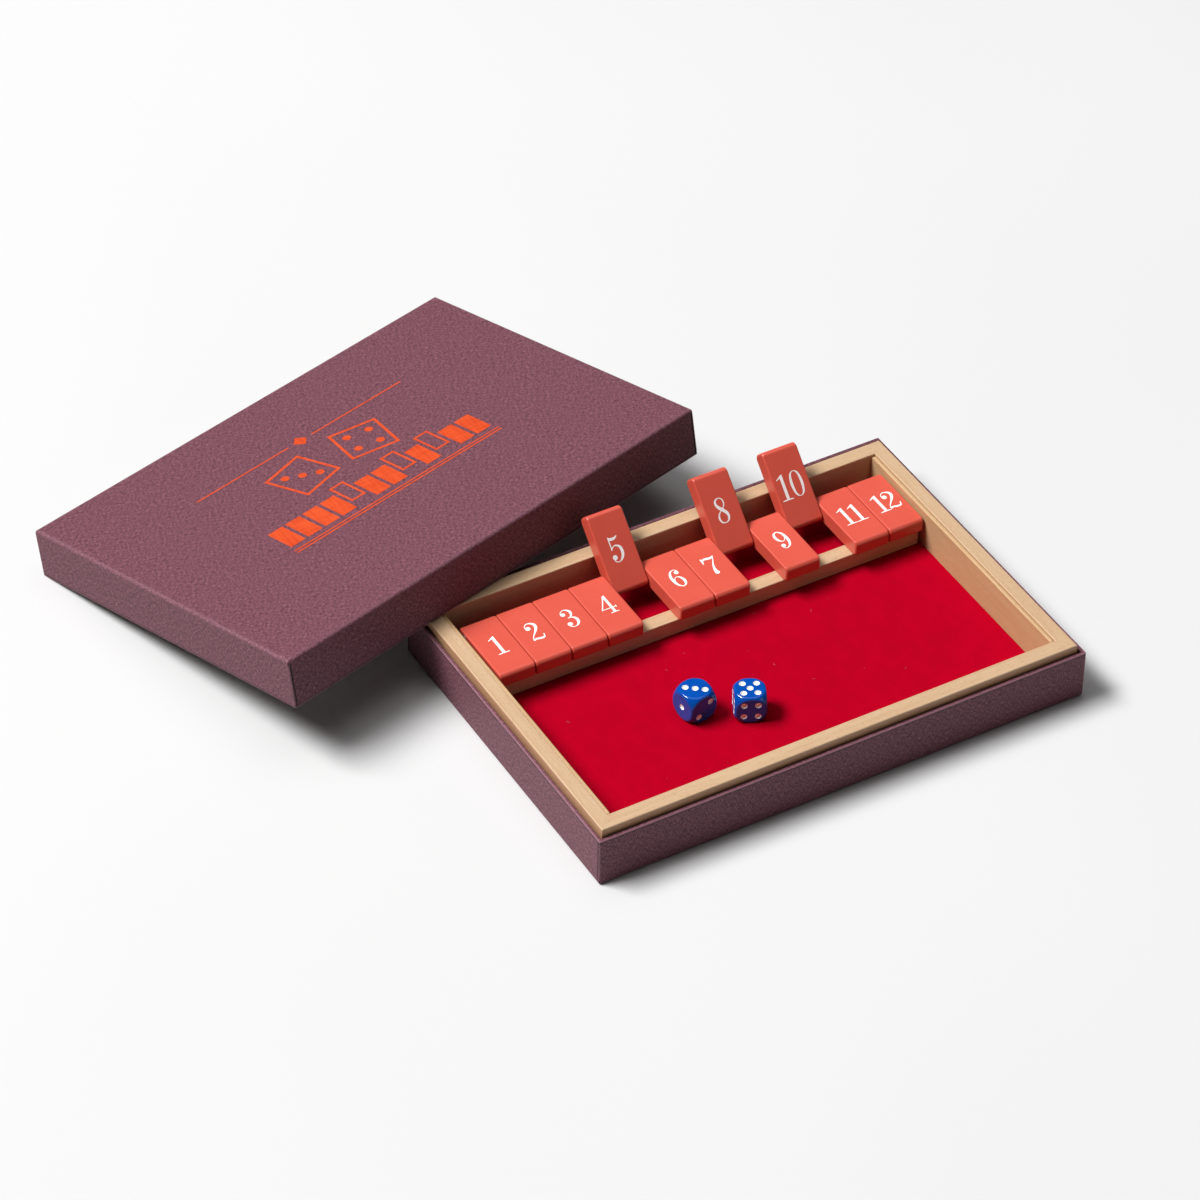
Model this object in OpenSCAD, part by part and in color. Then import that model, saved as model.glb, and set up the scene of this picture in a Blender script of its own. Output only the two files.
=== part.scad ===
// Shut the box: a shallow rigid box with a wooden dice tray, twelve hinged
// number tiles on one steel rod, two dice and a lift-off lid.
// Origin: centre of the base's underside. +X along the tiles from 1 to 12,
// +Y towards the tiles, +Z up. Millimetres and degrees.

/* [Box base] */
// Length of the base, along the row of tiles
base_l = 275; // [260:1:330]
// Depth of the base, from the player's side to the back
base_d = 191; // [184:1:240]
// Height of the base
base_h = 28; // [27:0.5:40]
// Thickness of the grey board in base and lid
board_t = 1.5; // [1.2:0.1:2.5]
// Thickness of the covering paper
paper_t = 0.25; // [0.15:0.05:0.4]
// How far the covering paper is turned in below each rim
turn_in = 12; // [6:1:15]

/* [Tray] */
// How far the tray stands above the rim of the base, as a neck for the lid
neck_h = 4.5; // [3:0.5:8]
// Thickness of the front and back walls
long_wall_t = 8.3; // [6:0.1:12]
// Thickness of the side walls
side_wall_t = 7.7; // [6:0.1:10]
// Width of the bevel along the top edges of the walls
wall_bevel = 0.6; // [0.3:0.1:1.5]
// Thickness of the tray's floor panel
panel_t = 6.5; // [4:0.5:8]
// Thickness of the felt
felt_t = 2; // [1:0.25:2.5]
// Thickness of the liners that hold the rod
liner_t = 2.1; // [2:0.1:3]
// How far the liners stop below the top of the walls
liner_drop = 0.8; // [0.4:0.1:2]

/* [Gaps round the tray] */
// Gap between tray and base on the left
gap_left = 0.9; // [0.4:0.1:2]
// Gap between tray and base on the right
gap_right = 1.9; // [0.4:0.1:3]
// Gap between tray and base at the front
gap_front = 0.8; // [0.4:0.1:2]
// Gap between tray and base at the back
gap_back = 4.6; // [3.5:0.1:6]

/* [Tiles] */
// Number of tiles in the row
tile_count = 12; // [12]
// Length of a tile
tile_len = 42.2; // [38:0.1:44]
// Thickness of a tile
tile_t = 8.6; // [7:0.1:9]
// Radius of the rounded edges at both ends of a tile
tile_end_r = 2.3; // [1:0.1:3]
// Gap between two tiles
tile_gap = 0.4; // [0.3:0.05:0.6]
// Space left of the first tile
row_play_left = 3; // [1:0.1:5]
// Space right of the last tile
row_play_right = 0.8; // [0.4:0.1:2]
// Gap between the lying tiles and the back wall
tile_back_gap = 9.5; // [9:0.1:13]
// Distance from the rod's centre to the back end of a tile
rod_inset = 5.6; // [4.5:0.1:6.5]
// Numbers of the tiles that stand open
open_tiles = [5, 8, 10];

/* [Rod and washers] */
// Diameter of the hinge rod
rod_d = 3; // [2:0.1:4]
// Radial clearance of a tile on the rod
rod_clear = 0.06; // [0.03:0.01:0.1]
// Outer diameter of the washers between the tiles
washer_d = 8; // [6:0.1:8.4]
// Thickness of the washers
washer_t = 0.3; // [0.2:0.05:0.3]

/* [Rest rail] */
// Height of the rail above the felt
rail_h = 9.3; // [8:0.1:10]
// Width of the rail
rail_w = 8.35; // [5:0.05:10]
// How far the tiles' front ends stand out over the rail
rail_inset = 2.75; // [1:0.05:5]
// Gap between the rail and each liner
rail_end_gap = 1.9; // [0.5:0.1:4]

/* [Dice] */
// Edge length of a die
die_s = 16; // [12:0.5:18]
// Diameter of the ball that rounds a die's corners
die_ball_d = 24.4; // [23:0.1:26.5]
// Diameter of a pip
pip_d = 3.1; // [2:0.1:3.3]
// Depth to which the pips are drilled
pip_depth = 0.9; // [0.5:0.1:1.2]
// Depth of a pip's surface below the face
pip_sunk = 0.25; // [0.1:0.05:0.4]
// Distance between neighbouring pips on a face
pip_pitch = 3.45; // [3.3:0.05:4]
// Distance of die one from the middle of the tray, to the left
die_one_left = 41.6; // [30:0.1:100]
// Distance of die one from the front wall
die_one_front = 61.8; // [50:0.1:90]
// Distance of die two from the middle of the tray, to the left
die_two_left = 18.2; // [-80:0.1:18.5]
// Distance of die two from the front wall
die_two_front = 48.9; // [12:0.1:90]

/* [Lid] */
// How much longer and deeper the lid is than the base
lid_over = 2; // [0:0.5:3]
// Height of the lid
lid_h = 27.4; // [20:0.1:40]
// Turn of the lid beside the base, seen from above
lid_turn = 15; // [14:0.5:20]
// How far in front of the tray's back corner the lid crosses the left wall
lid_cross = 13.4; // [12:0.1:14]
// How far the lid stands out to the left of that wall
lid_out = 89.6; // [60:0.1:120]

/* [Hidden] */
$fn = 64;

// Colours
plum = "#7c5866";
grey_board = "#8d8578";
pale_wood = "#e0c298";
crimson = "#c30020";
coral = "#e2604f";
steel = "#b9bcc0";
die_blue = "#1450c0";
pip_white = "#f4f2ee";
lining_grey = "#d9d4cc";

// Small gaps that keep touching pieces apart
touch = 0.05;
lean_gap = 0.3;
end_gap = 0.1;

// Box and tray
shell_t = board_t + 2 * paper_t;
floor_z = board_t + paper_t;
tray_top = base_h + neck_h;
tray_x0 = -base_l / 2 + shell_t + gap_left;
tray_x1 = base_l / 2 - shell_t - gap_right;
tray_y0 = -base_d / 2 + shell_t + gap_front;
tray_y1 = base_d / 2 - shell_t - gap_back;
well_x0 = tray_x0 + side_wall_t;
well_x1 = tray_x1 - side_wall_t;
well_y0 = tray_y0 + long_wall_t;
well_y1 = tray_y1 - long_wall_t;
liner_x0 = well_x0 + liner_t;
liner_x1 = well_x1 - liner_t;
felt_z = floor_z + panel_t + felt_t;
play_x = (liner_x0 + liner_x1) / 2;

// Row of tiles
row_x0 = liner_x0 + row_play_left;
row_x1 = liner_x1 - row_play_right;
tile_pitch = (row_x1 - row_x0) / tile_count;
tile_w = tile_pitch - tile_gap;
rail_top = felt_z + rail_h;
rod_y = well_y1 - tile_back_gap - rod_inset;
rod_z = rail_top + touch + tile_t / 2;
rod_bore_r = rod_d / 2 + rod_clear;
rail_y0 = rod_y + rod_inset - tile_len + rail_inset;

// An open tile leans on the inner top edge of the back wall
edge_y = well_y1 - rod_y;
edge_z = tray_top - rod_z;
edge_reach = norm([edge_y, edge_z]);
open_angle = 180 - atan2(edge_z, edge_y) - asin((tile_t / 2 + lean_gap) / edge_reach);

// Dice: place on the felt, turn seen from above, and the count of pips and
// their turn on the top, front, right, back, left and bottom faces
die_one_at = [play_x - die_one_left, well_y0 + die_one_front];
die_one_turn = 7.3;
die_one_faces = [[3, 0], [2, 90], [6, 0], [5, 0], [1, 0], [4, 0]];
die_two_at = [play_x - die_two_left, well_y0 + die_two_front];
die_two_turn = -25.6;
die_two_faces = [[5, 0], [4, 0], [1, 0], [3, 0], [6, 90], [2, 0]];

// The lid stands with its back edge on the table and its front wall on the tray
lid_l = base_l + lid_over;
lid_d = base_d + lid_over;
lid_tilt = asin((tray_top + touch) / (lid_d - shell_t));
lid_along = lid_l / 2 - lid_out;
lid_across = lid_d / 2 * cos(lid_tilt);
lid_x = tray_x0 + lid_along * cos(lid_turn) - lid_across * sin(lid_turn);
lid_y = tray_y1 - lid_cross + lid_along * sin(lid_turn) + lid_across * cos(lid_turn);
lid_z = touch + lid_d / 2 * sin(lid_tilt);

// Block between two opposite corners
module block(low, high) {
    translate(low)
        cube(high - low);
}

// Block centred on Z, from z0 to z1
module centred_block(length, depth, z0, z1) {
    block([-length / 2, -depth / 2, z0], [length / 2, depth / 2, z1]);
}

// Board box, open at the top, inside its covering paper
module shell_board(length, depth, height) {
    difference() {
        centred_block(length - 2 * paper_t, depth - 2 * paper_t, paper_t, height - paper_t);
        centred_block(length - 2 * (shell_t - paper_t), depth - 2 * (shell_t - paper_t), floor_z, height);
    }
}

// Covering paper, over the outside, round the rim and turned in below it
module shell_wrap(length, depth, height) {
    difference() {
        centred_block(length, depth, 0, height);
        centred_block(length - 2 * paper_t, depth - 2 * paper_t, paper_t, height - turn_in);
        difference() {
            centred_block(length - 2 * paper_t, depth - 2 * paper_t, height - turn_in, height - paper_t);
            centred_block(length - 2 * (shell_t - paper_t), depth - 2 * (shell_t - paper_t),
                height - turn_in, height - paper_t);
        }
        centred_block(length - 2 * shell_t, depth - 2 * shell_t, height - turn_in, height + 1);
    }
}

// Cross-section of a tray wall, with its top edges bevelled
module wall_section(thickness) {
    wall_h = tray_top - floor_z;
    polygon([
        [0, 0],
        [thickness, 0],
        [thickness, wall_h - wall_bevel],
        [thickness - wall_bevel, wall_h],
        [wall_bevel, wall_h],
        [0, wall_h - wall_bevel]
    ]);
}

// Plan of the mitred end-to-end outline that one wall keeps
module wall_plan(side) {
    outer = [[tray_x0, tray_y0], [tray_x1, tray_y0], [tray_x1, tray_y1], [tray_x0, tray_y1]];
    inner = [[well_x0, well_y0], [well_x1, well_y0], [well_x1, well_y1], [well_x0, well_y1]];
    next = (side + 1) % 4;
    polygon([outer[side], outer[next], inner[next], inner[side]]);
}

// Tray wall: a bevelled bar, cut to its mitres (0 front, 1 right, 2 back, 3 left)
module tray_wall(side) {
    long_side = side % 2 == 0;
    thickness = long_side ? long_wall_t : side_wall_t;
    color(pale_wood)
        intersection() {
            translate([0, 0, floor_z])
                linear_extrude(tray_top - floor_z)
                    wall_plan(side);
            if (long_side)
                translate([tray_x0, side == 0 ? tray_y0 : well_y1, floor_z])
                    rotate([90, 0, 90])
                        linear_extrude(tray_x1 - tray_x0)
                            wall_section(thickness);
            else
                translate([side == 3 ? tray_x0 : well_x1, tray_y1, floor_z])
                    rotate([90, 0, 0])
                        linear_extrude(tray_y1 - tray_y0)
                            wall_section(thickness);
        }
}

module base_board() {
    color(grey_board)
        shell_board(base_l, base_d, base_h);
}

module base_wrap() {
    color(plum)
        shell_wrap(base_l, base_d, base_h);
}

module tray_wall_front() { tray_wall(0); }
module tray_wall_back() { tray_wall(2); }
module tray_wall_left() { tray_wall(3); }
module tray_wall_right() { tray_wall(1); }

module tray_floor_panel() {
    color(pale_wood)
        block([well_x0, well_y0, floor_z], [well_x1, well_y1, floor_z + panel_t]);
}

module tray_felt() {
    color(crimson)
        block([liner_x0, well_y0, felt_z - felt_t], [liner_x1, well_y1, felt_z]);
}

// Liner from wall to wall, with a hole for the rod
module side_liner(x0) {
    color(pale_wood)
        difference() {
            block([x0, well_y0, floor_z + panel_t], [x0 + liner_t, well_y1, tray_top - liner_drop]);
            translate([x0 - 1, rod_y, rod_z])
                rotate([0, 90, 0])
                    cylinder(h = liner_t + 2, r = rod_bore_r);
        }
}

module side_liner_left() { side_liner(well_x0); }
module side_liner_right() { side_liner(liner_x1); }

module tile_rest_rail() {
    color(pale_wood)
        block([liner_x0 + rail_end_gap, rail_y0, felt_z],
            [liner_x1 - rail_end_gap, rail_y0 + rail_w, rail_top]);
}

module hinge_rod() {
    color(steel)
        translate([well_x0 + end_gap, rod_y, rod_z])
            rotate([0, 90, 0])
                cylinder(h = well_x1 - well_x0 - 2 * end_gap, d = rod_d);
}

// Washers between the tiles and at both ends of the row
module spacer_washers() {
    color(steel)
        for (i = [0:tile_count])
            translate([row_x0 + i * tile_pitch - washer_t / 2, rod_y, rod_z])
                rotate([0, 90, 0])
                    difference() {
                        cylinder(h = washer_t, d = washer_d);
                        translate([0, 0, -1])
                            cylinder(h = washer_t + 2, r = rod_bore_r);
                    }
}

// Side view of a tile about the rod, free end towards -X, ends rounded
module tile_section() {
    front = rod_inset - tile_len;
    translate([front, -tile_t / 2 + tile_end_r])
        square([tile_len, tile_t - 2 * tile_end_r]);
    translate([front + tile_end_r, -tile_t / 2])
        square([tile_len - 2 * tile_end_r, tile_t]);
    for (x = [front + tile_end_r, rod_inset - tile_end_r], z = [-1, 1])
        translate([x, z * (tile_t / 2 - tile_end_r)])
            circle(tile_end_r);
}

// Tile with its bore, lying on the rail or open
module tile(number) {
    is_open = len(search(number, open_tiles)) > 0;
    color(coral)
        translate([row_x0 + (number - 1) * tile_pitch + tile_gap / 2, rod_y, rod_z])
            rotate([is_open ? -open_angle : 0, 0, 0])
                difference() {
                    rotate([90, 0, 90])
                        linear_extrude(tile_w)
                            tile_section();
                    translate([-1, 0, 0])
                        rotate([0, 90, 0])
                            cylinder(h = tile_w + 2, r = rod_bore_r);
                }
}

// Turns that bring the top of a die to its top, front, right, back, left and bottom
DIE_TURNS = [[0, 0, 0], [90, 0, 0], [0, 90, 0], [-90, 0, 0], [0, -90, 0], [180, 0, 0]];

// Places of the pips of one face, in steps of the pip pitch
function pip_places(count) = concat(
    count % 2 == 1 ? [[0, 0]] : [],
    count > 1 ? [[-1, 1], [1, -1]] : [],
    count > 3 ? [[-1, -1], [1, 1]] : [],
    count == 6 ? [[-1, 0], [1, 0]] : []
);

// Discs at the pips of a die, from one depth below the faces to another
module pip_discs(faces, deep, shallow) {
    for (i = [0:5])
        rotate(DIE_TURNS[i])
            rotate([0, 0, faces[i][1]])
                for (place = pip_places(faces[i][0]))
                    translate([place[0] * pip_pitch, place[1] * pip_pitch, die_s / 2 - deep])
                        cylinder(h = deep - shallow, d = pip_d);
}

module place_die(at, turn) {
    translate([at[0], at[1], felt_z + die_s / 2])
        rotate([0, 0, turn])
            children();
}

module die_body(at, turn, faces) {
    color(die_blue)
        place_die(at, turn)
            difference() {
                intersection() {
                    cube(die_s, center = true);
                    sphere(d = die_ball_d);
                }
                pip_discs(faces, pip_depth, -1);
            }
}

module die_pips(at, turn, faces) {
    color(pip_white)
        place_die(at, turn)
            pip_discs(faces, pip_depth, pip_sunk);
}

module die_one() { die_body(die_one_at, die_one_turn, die_one_faces); }
module die_one_pips() { die_pips(die_one_at, die_one_turn, die_one_faces); }
module die_two() { die_body(die_two_at, die_two_turn, die_two_faces); }
module die_two_pips() { die_pips(die_two_at, die_two_turn, die_two_faces); }

// Puts what is made open side up, standing at z = 0, where the lid stands
module place_lid() {
    translate([lid_x, lid_y, lid_z])
        rotate([0, 0, lid_turn])
            rotate([-lid_tilt, 0, 0])
                translate([0, 0, lid_h])
                    rotate([180, 0, 0])
                        children();
}

module lid_board() {
    color(grey_board)
        place_lid()
            shell_board(lid_l, lid_d, lid_h);
}

module lid_wrap() {
    color(plum)
        place_lid()
            shell_wrap(lid_l, lid_d, lid_h);
}

module lid_lining() {
    color(lining_grey)
        place_lid()
            centred_block(lid_l - 2 * shell_t, lid_d - 2 * shell_t, floor_z, floor_z + paper_t);
}

base_board();
base_wrap();
tray_wall_front();
tray_wall_back();
tray_wall_left();
tray_wall_right();
tray_floor_panel();
tray_felt();
side_liner_left();
side_liner_right();
tile_rest_rail();
hinge_rod();
spacer_washers();
tile(1);  // tile_01
tile(2);  // tile_02
tile(3);  // tile_03
tile(4);  // tile_04
tile(5);  // tile_05
tile(6);  // tile_06
tile(7);  // tile_07
tile(8);  // tile_08
tile(9);  // tile_09
tile(10);  // tile_10
tile(11);  // tile_11
tile(12);  // tile_12
die_one();
die_one_pips();
die_two();
die_two_pips();
lid_board();
lid_wrap();
lid_lining();
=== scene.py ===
"""Shut the box game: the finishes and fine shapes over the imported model.

Shapes are worked out in millimetres in the model's own frame (X along the tiles,
Y towards the tiles, Z up) and turned to metres when a piece is made.
"""
import math
from collections import namedtuple

import bmesh
import bpy
from mathutils import Matrix, Vector, noise


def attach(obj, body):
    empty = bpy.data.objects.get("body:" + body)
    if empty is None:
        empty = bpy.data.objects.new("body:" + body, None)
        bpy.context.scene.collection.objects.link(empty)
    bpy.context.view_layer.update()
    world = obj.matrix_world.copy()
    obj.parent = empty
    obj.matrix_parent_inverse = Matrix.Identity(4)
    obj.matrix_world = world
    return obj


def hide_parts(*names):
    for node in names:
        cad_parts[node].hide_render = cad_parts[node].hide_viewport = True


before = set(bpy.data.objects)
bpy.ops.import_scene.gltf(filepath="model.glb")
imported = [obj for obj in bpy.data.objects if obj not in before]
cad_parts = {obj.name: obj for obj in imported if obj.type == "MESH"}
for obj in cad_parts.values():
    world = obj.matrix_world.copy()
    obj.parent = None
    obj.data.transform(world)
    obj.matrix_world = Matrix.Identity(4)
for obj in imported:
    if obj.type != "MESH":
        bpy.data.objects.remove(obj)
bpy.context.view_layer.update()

MM = 0.001

# Covered box: base and lid are the same board shell. corner is the radius of its upright
# corners and rim the radius along its rim. The sixth field is the long side, front -1 or
# back 1, whose rim is painted lighter as rubbing and as painted highlight, and seam_on_ends
# says whether the paper's seams lie on the short sides
Shell = namedtuple("Shell", "length depth height corner rim held seam_on_ends")
BASE = Shell(275.0, 191.0, 28.0, 0.7, 0.45, -1, True)
LID = Shell(277.0, 193.0, 27.4, 0.7, 0.5, 1, False)
PAPER_T = 0.25
SHELL_T = 2.0
BOARD_FLOOR = 1.75
TURN_IN = 12.0
FOLD_R = 1.75
SEAM_DEPTH = 0.2
# How far in from the left side and from the lit long side the rim is painted lighter, as
# rubbing and as painted highlight; the other rims are painted shade
LIT_RIM_REACH = 4.0

# Marks on the paper: above zero it is painted lighter, as rubbing and as painted highlight;
# below zero it is darkened as painted shade
RUBBED_AND_LIT = 1.0
CREASE = -0.7
# The rims away from the light: painted shade
SHADED_RIM = -0.35
SEAM = -1.0

# Wooden tray
TRAY_LOW = (-134.6, -92.7, 1.75)
TRAY_HIGH = (133.6, 88.9, 32.5)
LONG_WALL_T = 8.3
SIDE_WALL_T = 7.7
WALL_EASE = 0.6
MITRE_GAP = 0.02
LINER_T = 2.1
LINER_TOP = 31.7
LINER_CORNER_R = 1.8
LINER_EDGE = 0.6
PANEL_TOP = 8.25
FELT_TOP = 10.25
WELL_LEFT = TRAY_LOW[0] + SIDE_WALL_T
WELL_RIGHT = TRAY_HIGH[0] - SIDE_WALL_T
RAIL = ((-122.9, 31.65, 10.25), (121.9, 40.0, 19.55))
RAIL_EASE = 0.5

# Tiles on their rod
ROW_X0 = -121.8
TILE_COUNT = 12
TILE_PITCH = 20.4
TILE_GAP = 0.4
TILE_W = 20.0
TILE_LEN = 42.2
TILE_T = 8.6
TILE_END_R = 2.3
TILE_EDGE = 0.6
TILE_CORNER_R = 1.1
ROD_INSET = 5.6
ROD_Y = 65.5
ROD_Z = 23.9
BORE_R = 1.56
OPEN_TILES = (5, 8, 10)
OPEN_ANGLE = 134.987
# The model's washers have a radius of 4 mm. They are drawn with 3 mm, so that they don't
# show as specks between the tiles
WASHER_R = 3.0
WASHER_T = 0.3

# Dice: each has its place, its turn, and for each face the count and turn of its pips
DIE_HALF = 8.0
DIE_EDGE_R = 1.0
DIE_BALL_R = 11.0
DIE_BLEND = 0.5
DIE_CUTS = 27
PIP_PITCH = 3.45
PIP_R = 1.7
PIP_DEPTH = 1.0
CUP_R = (PIP_R ** 2 + PIP_DEPTH ** 2) / (2 * PIP_DEPTH)
ENAMEL_BELOW = 0.09
DICE = {
    "die_one": ((-42.1, -22.6), 7.3, ((3, 0), (2, 90), (6, 0), (5, 0), (1, 0), (4, 0))),
    "die_two": ((-18.7, -35.5), -25.6, ((5, 0), (4, 0), (1, 0), (3, 0), (6, 90), (2, 0))),
}
# How the top of a die is turned about X and Y to become each of its faces
DIE_TURNS = ((0, 0), (90, 0), (0, 90), (-90, 0), (0, -90), (180, 0))

# Printed shapes
INK_T = 0.02
INK_STEP = 0.003
FOIL_T = 0.03
PEN_WEIGHT = 0.72
NUMERAL_SIZE = 1.05
FIGURE_H = 13.0
# How far a numeral is printed off the middle, on a tile's top and underside
PRINT_OFF = ((0.3, 0.0), (-0.6, -0.8))


def turned(degrees, axis):
    """A turn about an axis through the origin."""
    return Matrix.Rotation(math.radians(degrees), 4, axis)


# Where the lid stands: its own frame, the frame of its top face, and that of its shell,
# which is drawn with its rim upwards
LID_FRAME = (
    Matrix.Translation((-111.977, 180.005, 16.4954)) @ turned(15.0, "Z") @ turned(-9.81217, "X")
)
LID_TOP = LID_FRAME @ Matrix.Translation((0, 0, LID.height))
LID_PLACE = LID_TOP @ turned(180.0, "X")

# Turns an outline drawn in a plane to stand across the X axis
ACROSS_X = Matrix(((0, 0, 1, 0), (1, 0, 0, 0), (0, 1, 0, 0), (0, 0, 0, 1)))


def new_object(name, data):
    """A new object in the scene."""
    thing = bpy.data.objects.new(name, data)
    bpy.context.collection.objects.link(thing)
    return thing


# Camera

def aim_camera():
    """A long lens, looking down on the game from the player's left-hand side."""
    turn, rise = math.radians(-30.447), math.radians(41.013)
    target, distance = Vector((-34.57, 82.54, 0.0)), 2545.33
    back = Vector((
        math.sin(turn) * math.cos(rise), -math.cos(turn) * math.cos(rise), math.sin(rise)
    ))
    right = Vector((math.cos(turn), math.sin(turn), 0.0))
    level = Matrix((right, back.cross(right), back)).transposed().to_4x4()
    lens = bpy.data.cameras.new("camera")
    lens.sensor_width, lens.lens = 36.0, 151.81
    lens.clip_start, lens.clip_end = 0.1, 20.0
    camera = new_object("camera", lens)
    spot = Matrix.Translation((target + back * distance) * MM)
    camera.matrix_world = spot @ level @ turned(0.829, "Z")
    bpy.context.scene.camera = camera


# Materials

def linear(hex_colour):
    """Linear RGBA of an sRGB hex colour."""
    parts = [int(hex_colour[i:i + 2], 16) / 255 for i in (1, 3, 5)]
    return (*[c / 12.92 if c <= 0.04045 else ((c + 0.055) / 1.055) ** 2.4 for c in parts], 1.0)


def add(tree, kind, inputs=None, **settings):
    """Adds a node with its settings; an input takes a value or another node's socket."""
    made = tree.nodes.new(kind)
    for name, value in settings.items():
        setattr(made, name, value)
    for name, value in (inputs or {}).items():
        if isinstance(value, bpy.types.NodeSocket):
            tree.links.new(value, made.inputs[name])
        else:
            made.inputs[name].default_value = value
    return made


def finish_named(name, **values):
    """A material with its shader's plain values set; gives it, its tree and its shader."""
    material = bpy.data.materials.new(name)
    material.use_nodes = True
    shader = material.node_tree.nodes["Principled BSDF"]
    for socket, value in values.items():
        shader.inputs[socket.replace("_", " ")].default_value = value
    return material, material.node_tree, shader


def streaks(tree, size, detail, rough=0.55, turn=(0, 0, 0), coords=None):
    """Noise whose blots are size millimetres long: one size, or one for each axis.

    It lies fixed in the piece, unless it is given other coordinates in metres.
    """
    if coords is None:
        coords = add(tree, "ShaderNodeTexCoord").outputs["Object"]
    scale = [1.0 / (s * MM) for s in ((size,) * 3 if isinstance(size, float) else size)]
    placed = add(
        tree, "ShaderNodeMapping", {"Vector": coords, "Scale": scale, "Rotation": turn}
    )
    made = add(
        tree, "ShaderNodeTexNoise",
        {"Vector": placed.outputs[0], "Scale": 1.0, "Detail": detail, "Roughness": rough},
    )
    return made.outputs["Fac"]


def ramp(tree, factor, stops):
    """Colours along a factor: (position, hex colour), or two colours at 0.3 and 0.7."""
    if isinstance(stops[0], str):
        stops = list(zip((0.3, 0.7), stops))
    made = add(tree, "ShaderNodeValToRGB", {"Fac": factor})
    bar = made.color_ramp
    while len(bar.elements) < len(stops):
        bar.elements.new(0.5)
    for element, (position, colour) in zip(bar.elements, stops):
        element.position, element.color = position, linear(colour)
    return made.outputs["Color"]


def blend(tree, factor, first, second, kind="MIX"):
    """Mix of two colours."""
    made = add(tree, "ShaderNodeMix", data_type="RGBA", blend_type=kind)
    for socket, value in ((0, factor), (6, first), (7, second)):
        if isinstance(value, bpy.types.NodeSocket):
            tree.links.new(value, made.inputs[socket])
        else:
            made.inputs[socket].default_value = value
    return made.outputs[2]


def maths(tree, kind, first, second):
    """One sum on two values, such as ADD or MAXIMUM."""
    return add(tree, "ShaderNodeMath", {0: first, 1: second}, operation=kind).outputs[0]


def weave(tree, thread, detail, **how):
    """Crossed threads; thread is a thread's width, length and depth in millimetres."""
    wide, long, deep = thread
    warp = streaks(tree, (wide, long, deep), detail, **how)
    weft = streaks(tree, (long, wide, deep), detail, **how)
    return maths(tree, "MULTIPLY", maths(tree, "ADD", warp, weft), 0.5)


def dye(tree, shader, colour):
    """Gives the shader a colour made by nodes."""
    tree.links.new(colour, shader.inputs["Base Color"])


def relief(tree, shader, height, depth, strength=1.0):
    """Bump of depth millimetres on the shader's normal."""
    made = add(
        tree, "ShaderNodeBump",
        {"Height": height, "Distance": depth * MM, "Strength": strength},
    )
    tree.links.new(made.outputs[0], shader.inputs["Normal"])


def mottled(name, blots, stops, depth=0.0, **values):
    """A finish with one noise in its colour, and as a relief of depth millimetres.

    blots holds the noise's size, detail and roughness as streaks takes them.
    """
    material, tree, shader = finish_named(name, **values)
    tone = streaks(tree, *blots)
    dye(tree, shader, ramp(tree, tone, stops))
    if depth:
        relief(tree, shader, tone, depth)
    return material


def plum_linen_paper():
    """Covering paper, dyed in the pulp and embossed with a linen roller.

    It is matt, with crossed threads that catch the light. Folds and the rims on the lit
    sides are painted lighter, as rubbing and as painted highlight; seams, the crease under
    the rim and the rims away from the light are darkened as painted shade. The threads lie
    about 0.3 mm apart; they are drawn as streaks 0.36 mm wide and 2 mm long so that they show.
    """
    material, tree, shader = finish_named(
        "plum_linen_embossed_paper", Roughness=0.62, IOR=1.47, Specular_IOR_Level=0.35,
        Sheen_Weight=0.06, Sheen_Roughness=0.4, Sheen_Tint=linear("#cfcac6")
    )
    coords = add(tree, "ShaderNodeUVMap", uv_map="paper").outputs[0]
    cloth = weave(tree, (0.36, 2.0, 1.0), 1.0, coords=coords)
    cloud = streaks(tree, 30.0, 2.0, coords=coords)
    threads = ramp(tree, cloth, ((0.41, "#3f212a"), (0.5, "#613540"), (0.59, "#8a5a67")))
    cloudy = ramp(tree, cloud, ("#603640", "#673b46"))
    body = blend(tree, 0.2, threads, cloudy)
    mark = add(tree, "ShaderNodeAttribute", attribute_name="fold").outputs["Fac"]
    # Marks above zero paint the paper lighter, as rubbing and as painted highlight; marks below
    # zero paint shade
    rubbed_and_highlight = maths(tree, "MULTIPLY", maths(tree, "MAXIMUM", mark, 0.0), 0.5)
    shaded = maths(tree, "MAXIMUM", maths(tree, "MULTIPLY", mark, -1.0), 0.0)
    colour = blend(tree, rubbed_and_highlight, body, linear("#9a6f7c"))
    dye(tree, shader, blend(tree, shaded, colour, linear("#160b0e")))
    relief(tree, shader, cloth, 0.025, 0.6)
    return material


def recycled_grey_board():
    """Grey board, pressed from waste paper: matt, with fibres and specks of ink."""
    material, tree, shader = finish_named("recycled_grey_board", Roughness=0.9, IOR=1.45)
    fibres = streaks(tree, 1.2, 6.0, 0.7)
    specks = streaks(tree, 0.5, 2.0)
    pulp = ramp(tree, fibres, ("#69635b", "#8a8276"))
    dark = ramp(tree, specks, ((0.66, "#ffffff"), (0.72, "#5a544c")))
    dye(tree, shader, blend(tree, 1.0, pulp, dark, "MULTIPLY"))
    relief(tree, shader, fibres, 0.08)
    return material


def uncoated_lining_paper():
    """Uncoated offset paper pasted inside the lid: off white, matt, faint fibres."""
    return mottled(
        "uncoated_lining_paper", ((2.5, 0.7, 0.7), 5.0, 0.7),
        ("#b3ada6", "#c2bdb6"), 0.03, Roughness=0.85, IOR=1.47,
    )


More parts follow.
